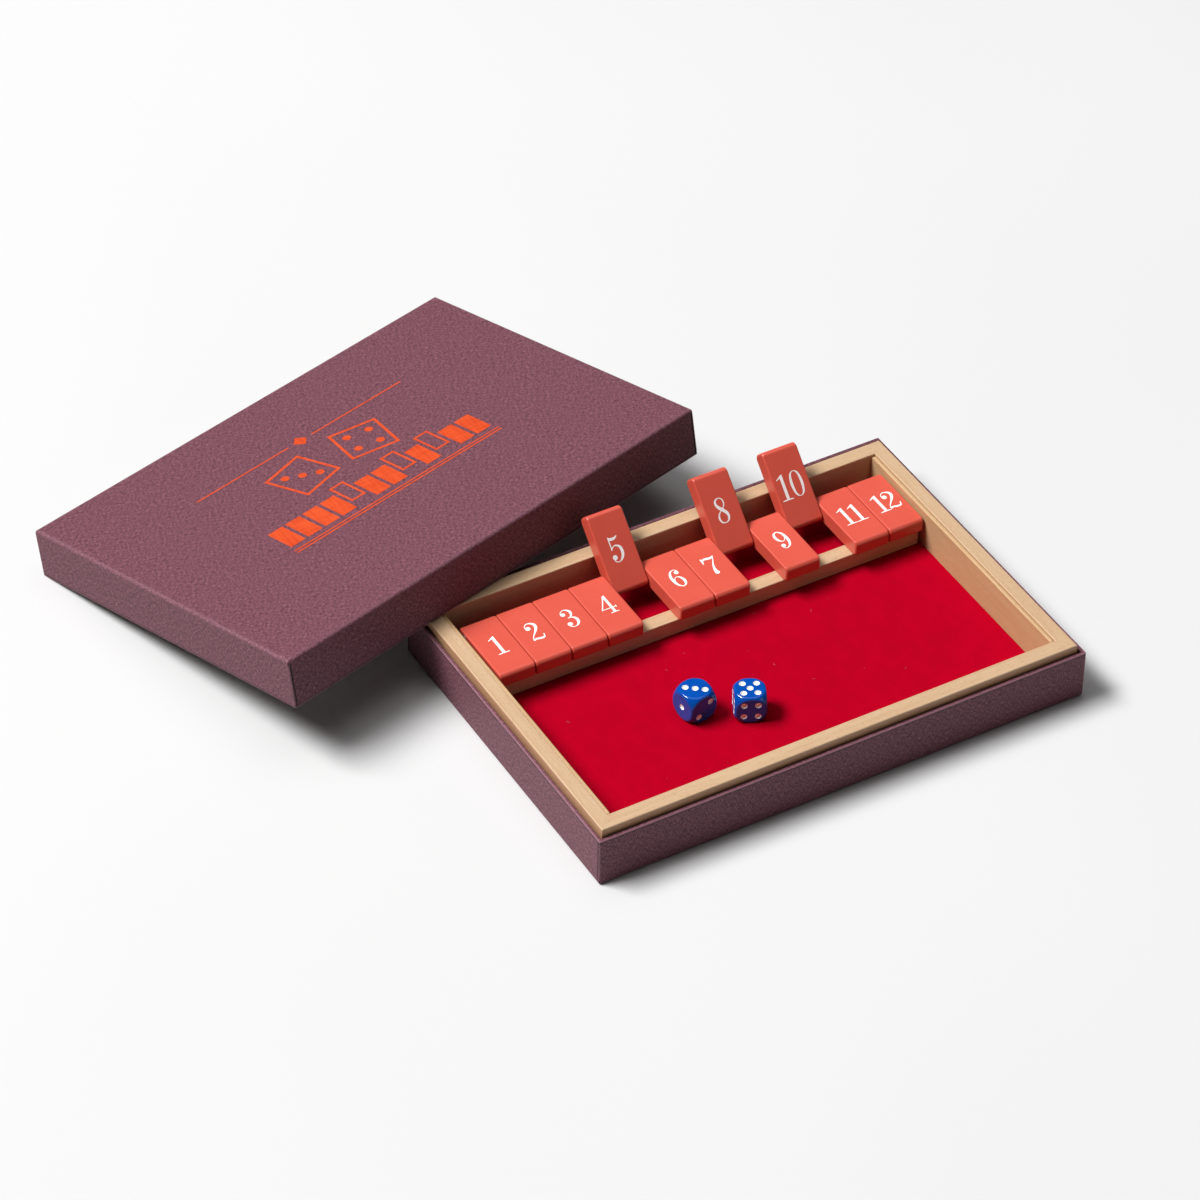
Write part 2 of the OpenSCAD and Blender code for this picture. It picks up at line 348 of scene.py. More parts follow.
def sanded_lime_wood(name, along, tone):
    """Lime wood, planed, sanded and sealed with a satin lacquer, tinted by tone.

    The grain is faint and straight, with short dark flecks. Flecks are about 0.15 mm wide;
    they are drawn 0.3 mm wide so that they show. along is the axis of the grain.
    """
    material, tree, shader = finish_named(name, Roughness=0.42, IOR=1.48)

    def grain(length, width, detail):
        size = [width] * 3
        size[along] = length
        return streaks(tree, size, detail, 0.6)

    bands = ramp(tree, grain(120.0, 4.0, 3.0), ("#b5916e", "#c3a686"))
    fibres = grain(16.0, 0.5, 4.0)
    fine = ramp(tree, fibres, ((0.3, "#b5906c"), (0.52, "#bfa281"), (0.72, "#c5aa8d")))
    flecks = ramp(tree, grain(2.4, 0.3, 2.0), ((0.6, "#ffffff"), (0.7, "#c69f7c")))
    wood = blend(tree, 0.5, bands, fine)
    wood = blend(tree, 0.55, wood, flecks, "MULTIPLY")
    dye(tree, shader, blend(tree, 1.0, wood, linear(tone), "MULTIPLY"))
    relief(tree, shader, fibres, 0.05, 0.7)
    return material


def sawn_fibreboard():
    """Medium-density fibreboard: brown, matt, with short pressed fibres."""
    return mottled(
        "sawn_fibreboard", ((1.4, 1.4, 0.5), 6.0, 0.7),
        ("#7d5f40", "#a88760"), 0.1, Roughness=0.85, IOR=1.48,
    )


def pressed_red_felt():
    """Wool felt, pressed and dyed: deep matt red with a soft nap.

    Fibres are 0.02 mm thick; the nap is drawn as tufts of 0.5 mm so that it shows.
    """
    material, tree, shader = finish_named(
        "pressed_red_wool_felt", Roughness=0.95, IOR=1.5, Specular_IOR_Level=0.02,
        Sheen_Weight=0.45, Sheen_Roughness=0.5, Sheen_Tint=linear("#ff0014")
    )
    nap = streaks(tree, 0.5, 5.0, 0.7)
    cloud = streaks(tree, (9.0, 14.0, 9.0), 3.0)
    tufts = ramp(tree, nap, ("#94001a", "#aa001e"))
    wide = ramp(tree, cloud, ("#98001b", "#a8001e"))
    dye(tree, shader, blend(tree, 0.5, tufts, wide))
    relief(tree, shader, nap, 0.15, 0.7)
    return material


def loose_cotton_lint():
    """Loose cotton fibres, pink with fluff from the felt: matt."""
    return mottled(
        "loose_cotton_lint", (3.0, 1.0), ("#9a3a44", "#c08088"),
        Roughness=0.9, IOR=1.5,
    )


def drawn_steel():
    """Bright steel, drawn through a die: metal with fine lines along its length."""
    return mottled(
        "bright_drawn_steel", ((12.0, 0.3, 0.3), 3.0), ("#b4b6b9", "#d2d3d5"),
        0.01, Roughness=0.28, Metallic=1.0,
    )


def sprayed_coral_enamel():
    """Satin enamel sprayed over a wooden tile: even coral with a faint orange peel."""
    material, tree, shader = finish_named("sprayed_coral_satin_enamel", Roughness=0.33, IOR=1.54)
    peel = streaks(tree, 1.1, 2.0)
    mist = streaks(tree, 0.5, 3.0)
    cloud = streaks(tree, 16.0, 2.0)
    coat = ramp(tree, cloud, ("#c74d3d", "#cc5242"))
    dusty = ramp(tree, mist, ("#c44939", "#d25a49"))
    dye(tree, shader, blend(tree, 0.4, coat, dusty))
    relief(tree, shader, peel, 0.03, 0.5)
    return material


def white_printing_ink():
    """White pad-printing ink: satin, opaque, a little thin in places."""
    return mottled(
        "white_pad_printed_ink", (0.9, 3.0), ((0.25, "#e6e3e2"), (0.6, "#f2f0ef")),
        0.01, Roughness=0.45, IOR=1.5,
    )


def polished_blue_acrylic():
    """Acrylic, cast and tumbled: deep blue with a wet gloss and rounded corners."""
    material, tree, shader = finish_named(
        "polished_blue_acrylic", Roughness=0.06, IOR=1.49, Specular_IOR_Level=0.48
    )
    depth = streaks(tree, 7.0, 2.0)
    wave = streaks(tree, 2.5, 1.0)
    dye(tree, shader, ramp(tree, depth, ("#02429a", "#024ba6")))
    relief(tree, shader, wave, 0.02, 0.4)
    return material


def white_pip_enamel():
    """White enamel run into the drilled pips: semi-gloss, a little uneven."""
    return mottled(
        "white_pip_enamel", (1.5, 2.0), ("#eeece9", "#f6f5f3"),
        Roughness=0.25, IOR=1.5,
    )


def orange_stamping_foil():
    """Pigment foil, hot-stamped into the paper: bright orange, satin.

    The paper's threads show faintly through it; they are drawn 0.8 mm wide so that they do.
    """
    material, tree, shader = finish_named("orange_hot_stamped_foil", Roughness=0.4, IOR=1.5)
    cloth = weave(tree, (0.8, 14.0, 14.0), 3.0, turn=(0, 0, math.radians(-15.0)))
    dye(tree, shader, ramp(tree, cloth, ((0.36, "#b33611"), (0.5, "#ca461c"), (0.64, "#d15226"))))
    relief(tree, shader, cloth, 0.08, 0.5)
    return material


def pale_table_paper():
    """A sheet of matt background paper under the game."""
    return mottled(
        "matt_background_paper", (400.0, 1.0),
        ("#cbcbcb", "#cdcdcd"), Roughness=0.8, IOR=1.45, Specular_IOR_Level=0.2,
    )


# Making pieces

def settle(piece):
    """Turns a piece's modifiers into its plain mesh, and gives the mesh."""
    graph = bpy.context.evaluated_depsgraph_get()
    mesh = bpy.data.meshes.new_from_object(
        piece.evaluated_get(graph), preserve_all_data_layers=True, depsgraph=graph
    )
    piece.modifiers.clear()
    piece.data = mesh
    return mesh


def add_piece(name, mesh, materials, body, replaces=(), sharp=32.0):
    """Shades a mesh made in metres, and sets what it rides on and stands for.

    materials is one material, or a tuple of them in the order that the faces number them.
    """
    mesh.name = name
    if mesh.materials:  # clearing also sets the faces' numbers back to 0
        mesh.materials.clear()
    for material in materials if isinstance(materials, tuple) else (materials,):
        mesh.materials.append(material)
    mesh.shade_smooth()
    mesh.set_sharp_from_angle(angle=math.radians(sharp))
    piece = new_object(name, mesh)
    piece.modifiers.new("flats_stay_flat", "WEIGHTED_NORMAL").keep_sharp = True
    settle(piece)
    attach(piece, body)
    if replaces:
        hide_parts(*replaces)


def to_mesh(form, place=Matrix(), doubles=True):
    """Puts a form made in millimetres in its place and turns it to a mesh in metres."""
    if doubles:
        bmesh.ops.remove_doubles(form, verts=form.verts, dist=0.0005)
    bmesh.ops.recalc_face_normals(form, faces=form.faces)
    form.transform(Matrix.Scale(MM, 4) @ place)
    mesh = bpy.data.meshes.new("form")
    form.to_mesh(mesh)
    form.free()
    return mesh


def arc(centre, radius, start, end, steps):
    """Points round an arc, angles in degrees."""
    turns = [math.radians(start + (end - start) * i / steps) for i in range(steps + 1)]
    return [(centre[0] + radius * math.cos(t), centre[1] + radius * math.sin(t)) for t in turns]


def circle(centre, radius, points=24):
    """Points round a circle."""
    return arc(centre, radius, 0, 360 - 360 / points, points - 1)


def bridge(form, first, second):
    """Quads between two closed rings of as many points."""
    pairs = list(zip(first, second))
    return [form.faces.new((a, b, d, c)) for (a, c), (b, d) in zip(pairs, pairs[1:] + pairs[:1])]


def eased_block(low, high, ease):
    """A block with all its edges rounded."""
    form = bmesh.new()
    bmesh.ops.create_cube(form, size=1.0)
    size = [high[i] - low[i] for i in range(3)]
    middle = [(high[i] + low[i]) / 2 for i in range(3)]
    form.transform(Matrix.Translation(middle) @ Matrix.Diagonal((*size, 1.0)))
    bmesh.ops.bevel(
        form, geom=form.edges[:], offset=ease, segments=3, profile=0.5, affect="EDGES"
    )
    return form


def plate(outline, hole, thickness, ease):
    """A plate cut to an outline with a hole, its rims rounded by ease."""
    curve = bpy.data.curves.new("plate", "CURVE")
    curve.dimensions, curve.fill_mode = "2D", "BOTH"
    curve.extrude, curve.bevel_depth = thickness / 2 - ease, ease
    curve.offset, curve.bevel_resolution = -ease, 2
    for loop in (outline, hole):
        spline = curve.splines.new("POLY")
        spline.points.add(len(loop) - 1)
        for point, (x, y) in zip(spline.points, loop):
            point.co = (x, y, 0.0, 1.0)
        spline.use_cyclic_u = True
    holder = bpy.data.objects.new("plate", curve)
    mesh = bpy.data.meshes.new_from_object(holder)
    form = bmesh.new()
    form.from_mesh(mesh)
    bpy.data.objects.remove(holder)
    bpy.data.curves.remove(curve)
    bpy.data.meshes.remove(mesh)
    return form


# Covered box

def corner_steps():
    """Steps round one corner: (angle or None, distance past the arc, fold mark, groove)."""
    # The marks paint the upright corner lighter, as rubbing and as a painted highlight along its
    # edge
    before = [(None, -d, m, g) for d, m, g in (
        (2.4, 0.0, 0), (1.15, 0.0, 0), (0.95, 0.0, 1), (0.3, 0.0, 1), (0.12, 0.4, 0)
    )]
    turn = [(a, 0.0, 0.15 + 0.4 * math.sin(math.radians(2 * a)), 0) for a in range(0, 91, 15)]
    after = [(None, -past, mark, -groove) for _, past, mark, groove in reversed(before)]
    return before + turn + after


def plan_rings(size):
    """Steps round the box, and the point that each has at a given inset."""
    steps = [(corner, *step) for corner in range(4) for step in corner_steps()]

    def point(step, inset):
        corner, angle, past, _, _ = step
        radius = max(size.corner - inset, 0.05)
        if angle is None:
            local = (radius, past) if past < 0 else (-past, radius)
        else:
            local = (radius * math.cos(math.radians(angle)), radius * math.sin(math.radians(angle)))
        turn = corner * math.pi / 2
        x = local[0] * math.cos(turn) - local[1] * math.sin(turn)
        y = local[0] * math.sin(turn) + local[1] * math.cos(turn)
        side_x, side_y = ((1, 1), (-1, 1), (-1, -1), (1, -1))[corner]
        return (
            x + side_x * (size.length / 2 - inset - radius),
            y + side_y * (size.depth / 2 - inset - radius),
        )

    return steps, point


def is_seam(size, step, inset, height, seams):
    """Whether the paper's edge, or the dart in its folded corner, dips in here."""
    corner, angle, _, _, groove = step
    on_ends = (groove > 0) == (corner % 2 == 0)
    edge = groove != 0 and on_ends == size.seam_on_ends
    if edge and seams[0] < height < seams[1] and inset < 0.01:
        return True
    return angle in (30, 45, 60) and 0.7 < height < FOLD_R + 0.6 and inset < 1.0


def paper_light_and_shade_at(size, spot, inset, fold, turned):
    """The paper's mark at a point: rims on the left and the lit long side get rubbing and painted
    highlight, the others painted shade.
    """
    x, y, height = spot
    rubbed_lit_rim = x < LIT_RIM_REACH - size.length / 2 or y * size.held > size.depth / 2 - LIT_RIM_REACH
    if fold > 0 and height > size.height / 2 and not rubbed_lit_rim:
        return SHADED_RIM
    if fold > 0 or (fold == 0 and inset < 0.01):
        # turned is the corner's mark: rubbing and painted highlight
        return max(fold, turned)
    return fold


def lofted_shell(size, profile, seams):
    """Sweeps a profile of (inset, height, fold mark) round the box and closes both ends.

    seams is the range of heights in which the paper's edge shows as a groove.
    """
    steps, point = plan_rings(size)
    form = bmesh.new()
    mark = form.verts.layers.float.new("fold")
    uv = form.loops.layers.uv.new("paper")
    around = [0.0]
    for here, there in zip(steps, steps[1:] + steps[:1]):
        a, b = Vector(point(here, 0.0)), Vector(point(there, 0.0))
        around.append(around[-1] + (b - a).length)
    along, rings = 0.0, []
    for number, (inset, height, fold) in enumerate(profile):
        if number:
            was = profile[number - 1]
            along += math.hypot(inset - was[0], height - was[1])
        ring = []
        for step in steps:
            seam = is_seam(size, step, inset, height, seams)
            spot = (*point(step, inset + (SEAM_DEPTH if seam else 0.0)), height)
            vert = form.verts.new(spot)
            # Seams and corner darts are darkened as painted shade; other points take the rubbing,
            # painted highlight or painted shade of their place
            vert[mark] = SEAM if seam else paper_light_and_shade_at(size, spot, inset, fold, step[3])
            ring.append(vert)
        rings.append((ring, along))
    for (low, low_v), (high, high_v) in zip(rings, rings[1:]):
        for face, u, next_u in zip(bridge(form, low, high), around, around[1:]):
            spots = ((u, low_v), (next_u, low_v), (next_u, high_v), (u, high_v))
            for loop, spot in zip(face.loops, spots):
                loop[uv].uv = (spot[0] * MM, spot[1] * MM)
    for ring in (rings[0][0][::-1], rings[-1][0]):
        for loop in form.faces.new(ring).loops:
            loop[uv].uv = (loop.vert.co.x * MM, loop.vert.co.y * MM)
    return form


def rim_arcs(size, gap, rub_and_highlight=0.0):
    """The rounded top of a rim from outside to inside, gap below the paper's face."""
    height, ease = size.height, size.rim
    outer = arc((ease, height - ease), ease - gap, 180, 90, 4)
    inner = arc((SHELL_T - ease, height - ease), ease - gap, 90, 0, 4)
    # The outer half of the rim takes the given mark: rubbing and painted highlight on the lit sides
    between = [(ease + 0.12, height, 0.3 * rub_and_highlight)] if gap == 0.0 else []
    return [(x, z, rub_and_highlight) for x, z in outer] + between + [(x, z, 0.0) for x, z in inner]


def wrap_profile(size):
    """Outer face of the paper from the underside over the rim, and its back again.

    A shallow crease runs below the rim, where the paper is turned over the board; it is
    darkened as painted shade, and a thin line just above it is painted lighter, as rubbing and
    as painted highlight. The fold round the underside is painted lighter the same way.
    """
    fold = [
        (x, z, 0.08 + 0.2 * math.sin(math.pi * i / 6))
        for i, (x, z) in enumerate(arc((FOLD_R, FOLD_R), FOLD_R, 270, 180, 6))
    ]
    neck = size.height - size.rim
    back = rim_arcs(size, PAPER_T)[::-1]
    inside = [(x, z, 0.0) for x, z in arc((FOLD_R, FOLD_R), FOLD_R - PAPER_T, 180, 270, 4)]
    turned_in = size.height - TURN_IN
    return (
        [(FOLD_R + 1.3, 0.0, 0.0)] + fold
        + [(0.0, FOLD_R + 0.5, 0.0), (0.0, FOLD_R + 1.2, 0.0), (0.0, neck - 1.0, 0.0)]
        + [(0.12, neck - 0.65, CREASE), (0.12, neck - 0.35, CREASE), (0.0, neck - 0.12, 0.3)]
        + rim_arcs(size, 0.0, RUBBED_AND_LIT)
        + [(SHELL_T, neck - 0.5, 0.0), (SHELL_T, turned_in, 0.0)]
        + [(SHELL_T - PAPER_T, turned_in, 0.0)] + back + inside
    )


def board_profile(size):
    """The grey board inside its paper, from its underside over the rim to its floor."""
    gap = PAPER_T + 0.02
    under = [(x, z, 0.0) for x, z in arc((FOLD_R, FOLD_R), FOLD_R - gap, 270, 180, 4)]
    over = rim_arcs(size, gap)
    return under + over + [(SHELL_T - gap, BOARD_FLOOR, 0.0)]


def cover_box(body, kind, size, place, paper, board):
    """Paper and board of the base or the lid."""
    wrap = lofted_shell(size, wrap_profile(size), (FOLD_R + 0.1, size.height - 1.4))
    add_piece(
        kind + "_paper", to_mesh(wrap, place, False), paper, body,
        (kind + "_wrap",), 60.0,
    )
    shell = lofted_shell(size, board_profile(size), (0, 0))
    add_piece(
        kind + "_grey_board", to_mesh(shell, place, False), board, body,
        (kind + "_board",), 40.0,
    )


# Tray

def wall_bar(side):
    """A tray wall with eased top edges, cut to its mitres (0 front, 1 right, 2 back, 3 left).

    Its outer face takes the second material, a darker copy of the wood that is painted shade
    for the narrow gap between tray and box.
    """
    long_side, low_side = side % 2 == 0, side in (0, 3)
    thick, other = (LONG_WALL_T, SIDE_WALL_T) if long_side else (SIDE_WALL_T, LONG_WALL_T)
    low, top, ease = TRAY_LOW[2], TRAY_HIGH[2], WALL_EASE
    section = [(0.0, low), (thick, low)]
    section += arc((thick - ease, top - ease), ease, 0, 90, 4)
    section += arc((ease, top - ease), ease, 90, 180, 4)
    axis, cross = (0, 1) if long_side else (1, 0)
    outside, inward = (TRAY_LOW[cross], 1) if low_side else (TRAY_HIGH[cross], -1)
    form = bmesh.new()
    ends = []
    for edge, sense in ((TRAY_LOW[axis], 1), (TRAY_HIGH[axis], -1)):
        ring = []
        for across, height in section:
            spot = [0.0, 0.0, height]
            spot[axis] = edge + sense * (across / thick * other + MITRE_GAP)
            spot[cross] = outside + inward * across
            ring.append(form.verts.new(spot))
        ends.append(ring)
    bridge(form, *ends)[-1].material_index = 1
    for ring in ends:
        form.faces.new(ring)
    return form


def liner_plate():
    """A thin liner, drilled for the rod, its top corners rounded off."""
    y0, y1 = TRAY_LOW[1] + LONG_WALL_T + 0.1, TRAY_HIGH[1] - LONG_WALL_T - 0.1
    low, top, corner = PANEL_TOP, LINER_TOP, LINER_CORNER_R
    outline = [(y0, low), (y1, low)]
    outline += arc((y1 - corner, top - corner), corner, 0, 90, 6)
    outline += arc((y0 + corner, top - corner), corner, 90, 180, 6)
    return plate(outline, circle((ROD_Y, ROD_Z), BORE_R), LINER_T, LINER_EDGE)


def felt_sheet(low, high):
    """The felt, with a soft uneven top and an edge cut by hand."""
    form = bmesh.new()
    cells_x, cells_y = 150, 100
    worn, swell, ragged_by, rounded_off = 0.07, 0.05, 0.12, 0.12
    grid = []
    for j in range(cells_y + 1):
        row = []
        for i in range(cells_x + 1):
            x = low[0] + (high[0] - low[0]) * i / cells_x
            y = low[1] + (high[1] - low[1]) * j / cells_y
            spot = Vector((x, y, 0.0))
            z = high[2] - worn + swell * noise.noise(spot * 0.35)
            if i in (0, cells_x) or j in (0, cells_y):
                ragged = ragged_by * (1 + noise.noise(spot * 0.6))
                x += ragged if i == 0 else -ragged if i == cells_x else 0.0
                y += ragged if j == 0 else -ragged if j == cells_y else 0.0
                z -= rounded_off
            row.append(form.verts.new((x, y, z)))
        grid.append(row)
    for j in range(cells_y):
        for i in range(cells_x):
            form.faces.new((grid[j][i], grid[j][i + 1], grid[j + 1][i + 1], grid[j + 1][i]))
    rim = [edge for edge in form.edges if edge.is_boundary]
    skirt = bmesh.ops.extrude_edge_only(form, edges=rim)["geom"]
    for vert in skirt:
        if isinstance(vert, bmesh.types.BMVert):
            vert.co.z = low[2]
    bmesh.ops.contextual_create(form, geom=[e for e in form.edges if e.is_boundary])
    return form


# Geometry Nodes for what repeats

def repeat_tree(name, *sockets):
    """An empty tree with geometry in and out, its named inputs and the shape to repeat."""
    tree = bpy.data.node_groups.new(name, "GeometryNodeTree")
    tree.interface.new_socket("Geometry", in_out="OUTPUT", socket_type="NodeSocketGeometry")
    for socket, kind in (("Geometry", "Geometry"), *sockets, ("Shape", "Object")):
        tree.interface.new_socket(socket, in_out="INPUT", socket_type="NodeSocket" + kind)
    return tree, add(tree, "NodeGroupInput").outputs


def set_on_points(tree, given, points, material, **how):
    """Sets the shape on every point, realizes it with its material and ends the tree."""
    shape = add(tree, "GeometryNodeObjectInfo", {"Object": given["Shape"]})
    placed = add(tree, "GeometryNodeInstanceOnPoints", {
        "Points": points, "Instance": shape.outputs["Geometry"], **how
    })
    real = add(tree, "GeometryNodeRealizeInstances", {"Geometry": placed.outputs[0]})
    done = add(
        tree, "GeometryNodeSetMaterial", {"Geometry": real.outputs[0], "Material": material}
    )
    add(tree, "NodeGroupOutput", {"Geometry": done.outputs[0]})


def grow(tree, start_mesh, form, **values):
    """Runs a tree on a mesh to repeat a form; gives the result as a plain mesh."""
    holder, shape = new_object("holder", start_mesh), new_object("shape", to_mesh(form))
    values["Shape"] = shape
    modifier = holder.modifiers.new("repeat", "NODES")
    modifier.node_group = tree
    for item in tree.interface.items_tree:
        if item.item_type == "SOCKET" and item.in_out == "INPUT" and item.name in values:
            modifier[item.identifier] = values[item.name]
    mesh = settle(holder)
    for used in (holder, shape):
        bpy.data.objects.remove(used)
    return mesh


def washer_row(material):
    """The washers, one at each side of every tile."""
    form = bmesh.new()
    half, flat, straight = WASHER_T / 2, WASHER_R - 0.08, WASHER_T / 2 - 0.07
    section = (
        (BORE_R, -half), (flat, -half), (WASHER_R, -straight), (WASHER_R, straight),
        (flat, half), (BORE_R, half),
    )
    rings = [
        [form.verts.new((x, y, z)) for y, z in circle((0, 0), radius, 48)]
        for radius, x in section
    ]
    for first, second in zip(rings, rings[1:] + rings[:1]):
        bridge(form, first, second)
    tree, given = repeat_tree("washers_along_the_rod", ("Count", "Int"), ("Pitch", "Vector"))
    line = add(
        tree, "GeometryNodeMeshLine", {"Count": given["Count"], "Offset": given["Pitch"]}
    )
    set_on_points(tree, given, line.outputs[0], material)
    pitch = (TILE_PITCH * MM, 0.0, 0.0)
    mesh = grow(tree, bpy.data.meshes.new("start"), form, Count=TILE_COUNT + 1, Pitch=pitch)
    mesh.transform(Matrix.Translation(Vector((ROW_X0, ROD_Y, ROD_Z)) * MM))
    return mesh


def lint_fibre():
    """One curled fibre, lying on z = 0."""
    form = bmesh.new()
    thin = 0.07
    rings = []
    for x, y in [(-0.9, 0.0), (-0.4, 0.22), (0.15, 0.18), (0.6, -0.12), (0.85, -0.3)]:
        rings.append([
            form.verts.new((x, y + thin * math.cos(t), thin + thin * math.sin(t)))
            for t in (0.0, math.pi / 2, math.pi, 3 * math.pi / 2)
        ])
    for first, second in zip(rings, rings[1:]):
        bridge(form, first, second)
    form.faces.new(rings[0])
    form.faces.new(rings[-1])
    return form


def lint_on_felt(low, high, material):
    """A few loose fibres that lie on the felt."""
    tree, given = repeat_tree(
        "lint_on_felt", ("Density", "Float"), ("Seed", "Int"), ("Smallest", "Float")
    )
    seed = given["Seed"]
    spread = add(tree, "GeometryNodeDistributePointsOnFaces", {
        "Mesh": given["Geometry"], "Density": given["Density"], "Seed": seed
    })
    turn = add(tree, "FunctionNodeRandomValue", {
        0: (0.0, 0.0, 0.0), 1: (0.0, 0.0, 6.283), "Seed": seed
    }, data_type="FLOAT_VECTOR")
    size = add(tree, "FunctionNodeRandomValue", {
        2: given["Smallest"], 3: 1.0, "Seed": seed
    }, data_type="FLOAT")
    set_on_points(
        tree, given, spread.outputs["Points"], material,
        Rotation=turn.outputs[0], Scale=size.outputs[1],
    )
    field, sunk = bmesh.new(), 0.04
    corners = ((low[0], low[1]), (high[0], low[1]), (high[0], high[1]), (low[0], high[1]))
    field.faces.new([field.verts.new((x, y, high[2] - sunk)) for x, y in corners])
    return grow(tree, to_mesh(field), lint_fibre(), Density=700.0, Seed=7, Smallest=0.25)


# Dice

def pip_spots(faces):
    """Place and outward direction of every pip of a die, in its own frame."""
    spots = []
    for (count, turn), (about_x, about_y) in zip(faces, DIE_TURNS):
        places = [(0, 0)] if count % 2 else []
        places += [(-1, 1), (1, -1)] if count > 1 else []
        places += [(-1, -1), (1, 1)] if count > 3 else []
        places += [(-1, 0), (1, 0)] if count == 6 else []
        face = turned(about_y, "Y") @ turned(about_x, "X") @ turned(turn, "Z")
        for x, y in places:
            spot = face @ Vector((x * PIP_PITCH, y * PIP_PITCH, DIE_HALF))
            spots.append((spot, face.to_3x3() @ Vector((0, 0, 1))))
    return spots


def die_solid():
    """A cube worn round by tumbling: a soft meeting of a cube and a ball."""
    form = bmesh.new()
    bmesh.ops.create_cube(form, size=2.0)
    bmesh.ops.subdivide_edges(form, edges=form.edges[:], cuts=DIE_CUTS, use_grid_fill=True)

    def depth(point):
        q = [abs(c) - (DIE_HALF - DIE_EDGE_R) for c in point]
        cube = math.hypot(*[max(c, 0.0) for c in q]) + min(max(q), 0.0) - DIE_EDGE_R
        ball = point.length - DIE_BALL_R
        meet = max(DIE_BLEND - abs(cube - ball), 0.0) / DIE_BLEND
        return max(cube, ball) + meet * meet * DIE_BLEND / 4

    for vert in form.verts:
        way = vert.co.normalized()
        near, far = 0.0, 2 * DIE_HALF
        for _ in range(24):
            middle = (near + far) / 2
            near, far = (middle, far) if depth(way * middle) < 0 else (near, middle)
        vert.co = way * near
    return form


def set_pips(spots, form, material):
    """Sets a form on every pip's place, turned to the pip's own direction."""
    tree, given = repeat_tree("pips_on_a_die")
    way = add(tree, "GeometryNodeInputNamedAttribute", {"Name": "way"}, data_type="FLOAT_VECTOR")
    turn = add(tree, "FunctionNodeAlignRotationToVector", {"Vector": way.outputs[0]}, axis="Z")
    set_on_points(tree, given, given["Geometry"], material, Rotation=turn.outputs[0])
    return grow(tree, point_mesh(spots), form)


def point_mesh(spots):
    """A mesh of the pips' places, with their directions as an attribute."""
    mesh = bpy.data.meshes.new("pip_places")
    mesh.from_pydata([spot * MM for spot, _ in spots], [], [])
    ways = mesh.attributes.new("way", "FLOAT_VECTOR", "POINT")
    for item, (_, way) in zip(ways.data, spots):
        item.vector = way
    return mesh


def lathe(outline):
    """Turns an outline of (radius, height) round the Z axis."""
    form = bmesh.new()
    verts = [form.verts.new((x, 0.0, z)) for x, z in outline]
    edges = [form.edges.new(pair) for pair in zip(verts, verts[1:])]
    bmesh.ops.spin(
        form, geom=verts + edges, axis=(0, 0, 1), cent=(0, 0, 0), steps=24,
        angle=math.tau, use_merge=True,
    )
    return form


def cup_cutter():
    """The round-nosed cutter that sinks a pip, standing on the face at z = 0."""
    brim = math.degrees(math.asin(PIP_R / CUP_R))
    nose = arc((0.0, CUP_R - PIP_DEPTH), CUP_R, -90, brim - 90, 8)
    return lathe([(0.0, -PIP_DEPTH), *nose[1:], (PIP_R, 1.5), (0.0, 1.5)])


def enamel_pool():
    """The thin hollow pool of enamel in a sunk pip."""
    centre = CUP_R - PIP_DEPTH
    outline = []
    for radius, parts in ((CUP_R - 0.01, range(9)), (CUP_R - 0.1, range(8, -1, -1))):
        brim = math.acos((centre + ENAMEL_BELOW) / radius)
        for part in parts:
            lean = brim * part / 8
            outline.append((radius * math.sin(lean), centre - radius * math.cos(lean)))
    return lathe(outline)


def make_die(name, blue, white):
    """One die with its sunk pips."""
    (x, y), turn, faces = DICE[name]
    place = Matrix.Translation(Vector((x, y, FELT_TOP + DIE_HALF)) * MM) @ turned(turn, "Z")
    spots = pip_spots(faces)
    cutter = new_object("cutter", set_pips(spots, cup_cutter(), blue))
    pools = set_pips(spots, enamel_pool(), white)
    solid = new_object("solid", to_mesh(die_solid()))
    cut = solid.modifiers.new("pips", "BOOLEAN")
    cut.operation, cut.solver, cut.object = "DIFFERENCE", "EXACT", cutter
    mesh = settle(solid)
    for holder in (cutter, solid):
        bpy.data.objects.remove(holder)
    for made in (mesh, pools):
        made.transform(place)
    add_piece(name + "_body", mesh, blue, name, (name,), 40.0)
    add_piece(name + "_enamel", pools, white, name, (name + "_pips",), 50.0)


# Numerals and ornament, drawn with a broad pen

def item_at(items, i, closed):
    """Item i; past the ends it goes round a closed path and stays put on an open one."""
    return items[i % len(items) if closed else min(max(i, 0), len(items) - 1)]


def smooth_path(points, closed):
    """Catmull-Rom curve through (x, y, width) points."""
    path, steps = [], 7
    for i in range(len(points) if closed else len(points) - 1):
        p = [Vector(item_at(points, i + k, closed)) for k in (-1, 0, 1, 2)]
        for s in range(steps):
            t = s / steps
            path.append(0.5 * (
                2 * p[1] + (p[2] - p[0]) * t + (2 * p[0] - 5 * p[1] + 4 * p[2] - p[3]) * t * t
                + (3 * p[1] - p[0] - 3 * p[2] + p[3]) * t ** 3
            ))
    return path if closed else path + [Vector(points[-1])]


def pen(points, closed=False):
    """Quads of a stroke whose width changes along its path."""
    path = smooth_path(points, closed)
    sides = []
    for i, here in enumerate(path):
        before, after = item_at(path, i - 1, closed), item_at(path, i + 1, closed)
        way = Vector((after.x - before.x, after.y - before.y)).normalized()
        out = Vector((-way.y, way.x)) * here.z * PEN_WEIGHT / 2
        sides.append(((here.x + out.x, here.y + out.y), (here.x - out.x, here.y - out.y)))
    pairs = list(zip(sides, sides[1:] + (sides[:1] if closed else [])))
    return [[a[0], a[1], b[1], b[0]] for a, b in pairs]


def dot(x, y, radius):
    """A round ball."""
    return [circle((x, y), radius)]


def slab(*corners):
    """A flat shape with straight sides."""
    return [list(corners)]


